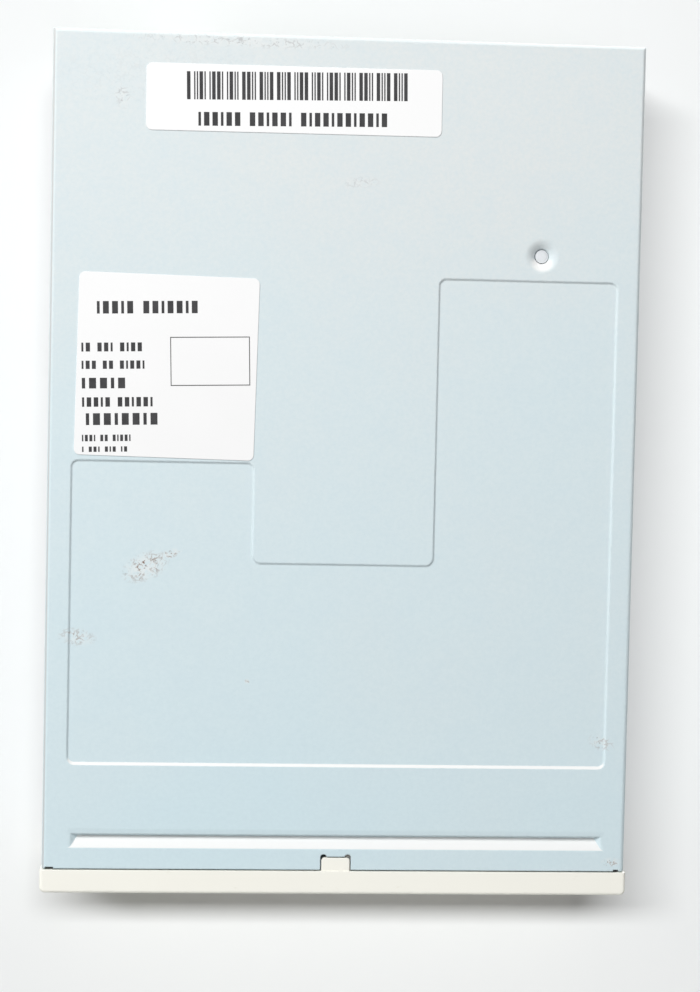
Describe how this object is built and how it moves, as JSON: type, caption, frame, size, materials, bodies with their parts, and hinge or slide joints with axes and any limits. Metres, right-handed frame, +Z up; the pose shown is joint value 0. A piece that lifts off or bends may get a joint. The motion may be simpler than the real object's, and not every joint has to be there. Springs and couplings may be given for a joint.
{
  "type": "floppy disk drive",
  "caption": "Slim internal disk drive: folded steel chassis and pressed lid, moulded front with a slot, sprung door and eject button, spindle motor and stepped heads.",
  "frame": {"origin": "middle of the drive's footprint, on the plane of its feet", "axes": "+X to the right seen from the front, where the eject button is; +Y from the front to the connectors at the rear; +Z up"},
  "size_m": [0.1016, 0.147, 0.0254],
  "materials": {
    "cover_paint": "satin pale blue-grey paint on thin sheet steel",
    "front_plastic": "fine-textured ivory moulding",
    "door_plastic": "plain ivory moulding",
    "lamp_plastic": "clear green light pipe",
    "black_plastic": "black moulding",
    "zinc_steel": "zinc-plated pressed steel",
    "bright_steel": "ground or plated steel",
    "spring_steel": "drawn spring wire",
    "die_cast": "die-cast and tumbled",
    "brass": "sintered or turned",
    "magnet": "moulded ferrite ring",
    "copper": "enamelled winding wire",
    "motor_board": "insulated steel circuit plate, green lacquer",
    "green_board": "glass-epoxy board with green lacquer",
    "chip_black": "moulded epoxy packages",
    "contact_tin": "tinned contacts",
    "head_ceramic": "lapped ceramic",
    "carriage_plastic": "glass-filled moulding",
    "white_plastic": "natural moulding",
    "flex_amber": "polyimide flat cable",
    "paper": "white paper label"
  },
  "bodies": {
    "frame": {"chassis": "zinc_steel", "top_cover": "cover_paint", "front_bezel": "front_plastic", "lamp_lens": "lamp_plastic", "lamp_holder": "black_plastic", "door_spring": "spring_steel", "eject_spring_right": "spring_steel", "eject_spring_left": "spring_steel", "motor_plate": "motor_board", "bearing_housing": "brass", "spindle_bearing": "brass", "stator_core": "zinc_steel", "stator_coils": "copper", "index_sensor": "chip_black", "stepper_bracket": "zinc_steel", "screw_bearing": "brass", "stepper_motor": "bright_steel", "guide_rod": "bright_steel", "rod_clamps": "die_cast", "mechanism_screws": "bright_steel", "main_board": "green_board", "board_parts": "chip_black", "signal_connector": "black_plastic", "signal_pins": "contact_tin", "power_connector": "white_plastic", "power_pins": "contact_tin", "head_cable": "flex_amber", "motor_cable": "flex_amber", "stepper_cable": "flex_amber", "sensor_switches": "black_plastic", "disk_rest_posts": "bright_steel", "track_zero_sensor": "black_plastic", "underside_screws": "bright_steel", "top_label": "paper", "side_label": "paper"},
    "eject_slider": {"slider_plate": "zinc_steel", "eject_button": "front_plastic"},
    "disk_holder": {"disk_holder": "zinc_steel", "holder_pins": "bright_steel", "lever_post": "bright_steel", "lever_spring": "spring_steel"},
    "shutter_lever": {"shutter_lever": "zinc_steel"},
    "dust_door": {"dust_door": "door_plastic"},
    "spindle": {"rotor_cup": "zinc_steel", "rotor_magnet": "magnet", "spindle_hub": "brass", "spindle_shaft": "bright_steel", "drive_pin": "bright_steel"},
    "lead_screw": {"lead_screw": "bright_steel"},
    "head_carriage": {"head_carriage": "carriage_plastic", "lower_head": "head_ceramic", "follower_pin": "bright_steel", "arm_pin": "bright_steel", "arm_spring": "spring_steel"},
    "head_arm": {"head_arm": "zinc_steel", "upper_head": "head_ceramic"},
    "density_plunger": {"density_plunger": "white_plastic"},
    "write_protect_plunger": {"write_protect_plunger": "white_plastic"},
    "disk_in_plunger": {"disk_in_plunger": "white_plastic"}
  },
  "joints": [
    {"name": "eject_slide", "type": "slide", "parent": "frame", "child": "eject_slider", "axis": [0, -1, 0], "range_m": [0, 0.005], "deforming": ["eject_spring_right", "eject_spring_left"]},
    {"name": "holder_lift", "type": "slide", "parent": "frame", "child": "disk_holder", "axis": [0, 0, -1], "range_m": [0, 0.0028]},
    {"name": "shutter_lever_turn", "type": "hinge", "parent": "disk_holder", "child": "shutter_lever", "pos_m": [0.0333, 0.0373, 0.0209], "axis": [0, 0, -1], "range_deg": [0, 57], "stiffness_Nm_per_rad": 0.004},
    {"name": "door_swing", "type": "hinge", "parent": "frame", "child": "dust_door", "pos_m": [0, -0.0701, 0.02035], "axis": [1, 0, 0], "range_deg": [0, 85], "stiffness_Nm_per_rad": 0.001},
    {"name": "spindle_spin", "type": "hinge", "parent": "frame", "child": "spindle", "pos_m": [0, -0.0215, 0.008], "axis": [0, 0, 1], "continuous": true},
    {"name": "head_slide", "type": "slide", "parent": "frame", "child": "head_carriage", "axis": [0, -1, 0], "range_m": [0, 0.0148], "deforming": ["head_cable"]},
    {"name": "screw_turn", "type": "hinge", "parent": "frame", "child": "lead_screw", "pos_m": [-0.014, 0.03, 0.0098], "axis": [0, 1, 0], "range_deg": [0, 1421]},
    {"name": "head_lift", "type": "hinge", "parent": "head_carriage", "child": "head_arm", "pos_m": [0, 0.042, 0.0163], "axis": [1, 0, 0], "range_deg": [0, 12.4]},
    {"name": "density_press", "type": "slide", "parent": "frame", "child": "density_plunger", "axis": [0, 0, -1], "range_m": [0, 0.0012], "stiffness_N_per_m": 60},
    {"name": "write_protect_press", "type": "slide", "parent": "frame", "child": "write_protect_plunger", "axis": [0, 0, -1], "range_m": [0, 0.0012], "stiffness_N_per_m": 60},
    {"name": "disk_in_press", "type": "slide", "parent": "frame", "child": "disk_in_plunger", "axis": [0, 0, -1], "range_m": [0, 0.0012], "stiffness_N_per_m": 60}
  ],
  "couplings": [
    {"joint": "holder_lift", "follows": "eject_slide", "ratio": 0.56},
    {"joint": "head_lift", "follows": "eject_slide", "rad_per_m": 42.935},
    {"joint": "screw_turn", "follows": "head_slide", "rad_per_m": 1675.5}
  ]
}
